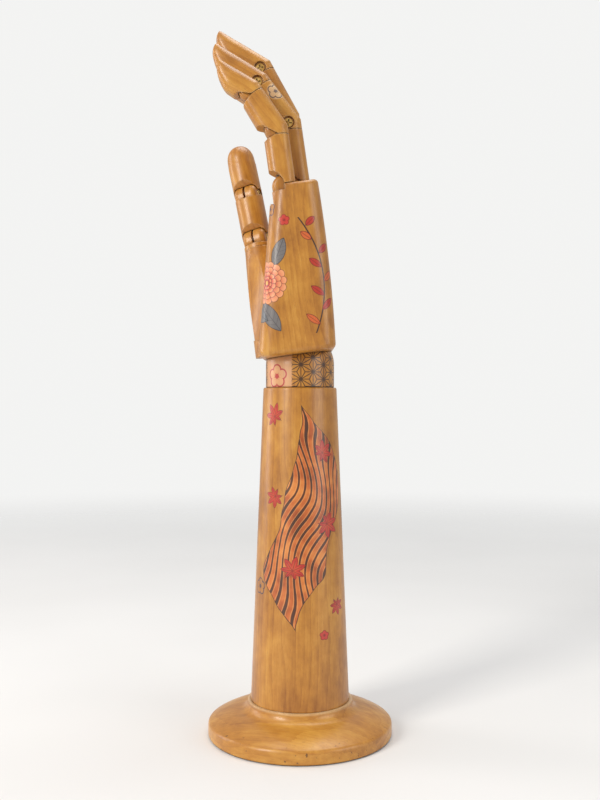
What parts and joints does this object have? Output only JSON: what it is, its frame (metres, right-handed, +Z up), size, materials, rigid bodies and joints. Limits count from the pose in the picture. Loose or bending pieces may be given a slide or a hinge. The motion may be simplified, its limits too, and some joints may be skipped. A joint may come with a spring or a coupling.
{
  "type": "wooden hand mannequin",
  "caption": "Jointed wooden hand on a turned forearm and round base: hinged finger and thumb segments on screws, a thumb that swivels, and a wrist that tilts and turns.",
  "frame": {"origin": "middle of the base's underside", "axes": "+Z up, +X the back of the hand, -X the palm, +Y the thumb's side"},
  "size_m": [0.104, 0.1153, 0.4011],
  "materials": {
    "wood": "satin lacquer",
    "brass": "dull",
    "steel": "plain"
  },
  "bodies": {
    "stand": {"base_disc": "wood", "forearm": "wood", "base_screws": "steel", "tension_spring": "steel", "tension_washer": "steel", "tension_nut": "steel"},
    "neck": {"wrist_neck": "wood", "wrist_stud": "steel", "wrist_pin": "steel"},
    "palm": {"palm_block": "wood", "wrist_tongue": "steel", "tongue_pins": "steel", "knuckle_screws": "brass", "thumb_peg": "wood"},
    "little_finger_base": {"little_finger_base": "wood", "little_finger_base_plate": "steel", "little_finger_mid_screw": "brass"},
    "little_finger_mid": {"little_finger_mid": "wood", "little_finger_mid_plate": "steel", "little_finger_tip_screw": "brass"},
    "little_finger_tip": {"little_finger_tip": "wood", "little_finger_tip_plate": "steel"},
    "ring_finger_base": {"ring_finger_base": "wood", "ring_finger_base_plate": "steel", "ring_finger_mid_screw": "brass"},
    "ring_finger_mid": {"ring_finger_mid": "wood", "ring_finger_mid_plate": "steel", "ring_finger_tip_screw": "brass"},
    "ring_finger_tip": {"ring_finger_tip": "wood", "ring_finger_tip_plate": "steel"},
    "middle_finger_base": {"middle_finger_base": "wood", "middle_finger_base_plate": "steel", "middle_finger_mid_screw": "brass"},
    "middle_finger_mid": {"middle_finger_mid": "wood", "middle_finger_mid_plate": "steel", "middle_finger_tip_screw": "brass"},
    "middle_finger_tip": {"middle_finger_tip": "wood", "middle_finger_tip_plate": "steel"},
    "index_finger_base": {"index_finger_base": "wood", "index_finger_base_plate": "steel", "index_finger_mid_screw": "brass"},
    "index_finger_mid": {"index_finger_mid": "wood", "index_finger_mid_plate": "steel", "index_finger_tip_screw": "brass"},
    "index_finger_tip": {"index_finger_tip": "wood", "index_finger_tip_plate": "steel"},
    "thumb_knuckle": {"thumb_knuckle": "wood", "thumb_base_screw": "brass"},
    "thumb_base": {"thumb_base": "wood", "thumb_base_plate": "steel", "thumb_tip_screw": "brass"},
    "thumb_tip": {"thumb_tip": "wood", "thumb_tip_plate": "steel"}
  },
  "joints": [
    {"name": "wrist_turn", "type": "hinge", "parent": "stand", "child": "neck", "pos_m": [0, 0, 0.196], "axis": [0, 0, 1], "continuous": true},
    {"name": "wrist_tilt", "type": "hinge", "parent": "neck", "child": "palm", "pos_m": [0, 0, 0.2088], "axis": [0, -1, 0], "range_deg": [-30, 17]},
    {"name": "little_finger_knuckle", "type": "hinge", "parent": "palm", "child": "little_finger_base", "pos_m": [-0.00929, -0.028, 0.30361], "axis": [0, -1, 0], "range_deg": [0, 72]},
    {"name": "little_finger_middle_joint", "type": "hinge", "parent": "little_finger_base", "child": "little_finger_mid", "pos_m": [-0.01333, -0.028, 0.33475], "axis": [0, -1, 0], "range_deg": [0, 50]},
    {"name": "little_finger_end_joint", "type": "hinge", "parent": "little_finger_mid", "child": "little_finger_tip", "pos_m": [-0.0273, -0.028, 0.35499], "axis": [0, -1, 0], "range_deg": [0, 38]},
    {"name": "ring_finger_knuckle", "type": "hinge", "parent": "palm", "child": "ring_finger_base", "pos_m": [-0.00179, -0.0106, 0.30732], "axis": [0, -1, 0], "range_deg": [0, 72]},
    {"name": "ring_finger_middle_joint", "type": "hinge", "parent": "ring_finger_base", "child": "ring_finger_mid", "pos_m": [-0.00642, -0.0106, 0.34202], "axis": [0, -1, 0], "range_deg": [0, 50]},
    {"name": "ring_finger_end_joint", "type": "hinge", "parent": "ring_finger_mid", "child": "ring_finger_tip", "pos_m": [-0.02353, -0.0106, 0.36456], "axis": [0, -1, 0], "range_deg": [0, 38]},
    {"name": "middle_finger_knuckle", "type": "hinge", "parent": "palm", "child": "middle_finger_base", "pos_m": [-0.00149, 0.0081, 0.30816], "axis": [0, -1, 0], "range_deg": [0, 72]},
    {"name": "middle_finger_middle_joint", "type": "hinge", "parent": "middle_finger_base", "child": "middle_finger_mid", "pos_m": [-0.00761, 0.0081, 0.35112], "axis": [0, -1, 0], "range_deg": [0, 50]},
    {"name": "middle_finger_end_joint", "type": "hinge", "parent": "middle_finger_mid", "child": "middle_finger_tip", "pos_m": [-0.02273, 0.0081, 0.37875], "axis": [0, -1, 0], "range_deg": [0, 38]},
    {"name": "index_finger_knuckle", "type": "hinge", "parent": "palm", "child": "index_finger_base", "pos_m": [-0.00369, 0.0269, 0.30642], "axis": [0, -1, 0], "range_deg": [0, 72]},
    {"name": "index_finger_middle_joint", "type": "hinge", "parent": "index_finger_base", "child": "index_finger_mid", "pos_m": [-0.00892, 0.0269, 0.34406], "axis": [0, -1, 0], "range_deg": [0, 50]},
    {"name": "index_finger_end_joint", "type": "hinge", "parent": "index_finger_mid", "child": "index_finger_tip", "pos_m": [-0.0236, 0.0269, 0.3686], "axis": [0, -1, 0], "range_deg": [0, 38]},
    {"name": "thumb_turn", "type": "hinge", "parent": "palm", "child": "thumb_knuckle", "pos_m": [-0.02507, 0.0425, 0.28065], "axis": [-0.1894, 0.2244, 0.9559], "range_deg": [-60, 30]},
    {"name": "thumb_lower_joint", "type": "hinge", "parent": "thumb_knuckle", "child": "thumb_base", "pos_m": [-0.02632, 0.04398, 0.28696], "axis": [-0.9128, 0.3185, -0.2556], "range_deg": [-50, 0]},
    {"name": "thumb_end_joint", "type": "hinge", "parent": "thumb_base", "child": "thumb_tip", "pos_m": [-0.03189, 0.05058, 0.31506], "axis": [-0.9128, 0.3185, -0.2556], "range_deg": [-60, 0]}
  ]
}
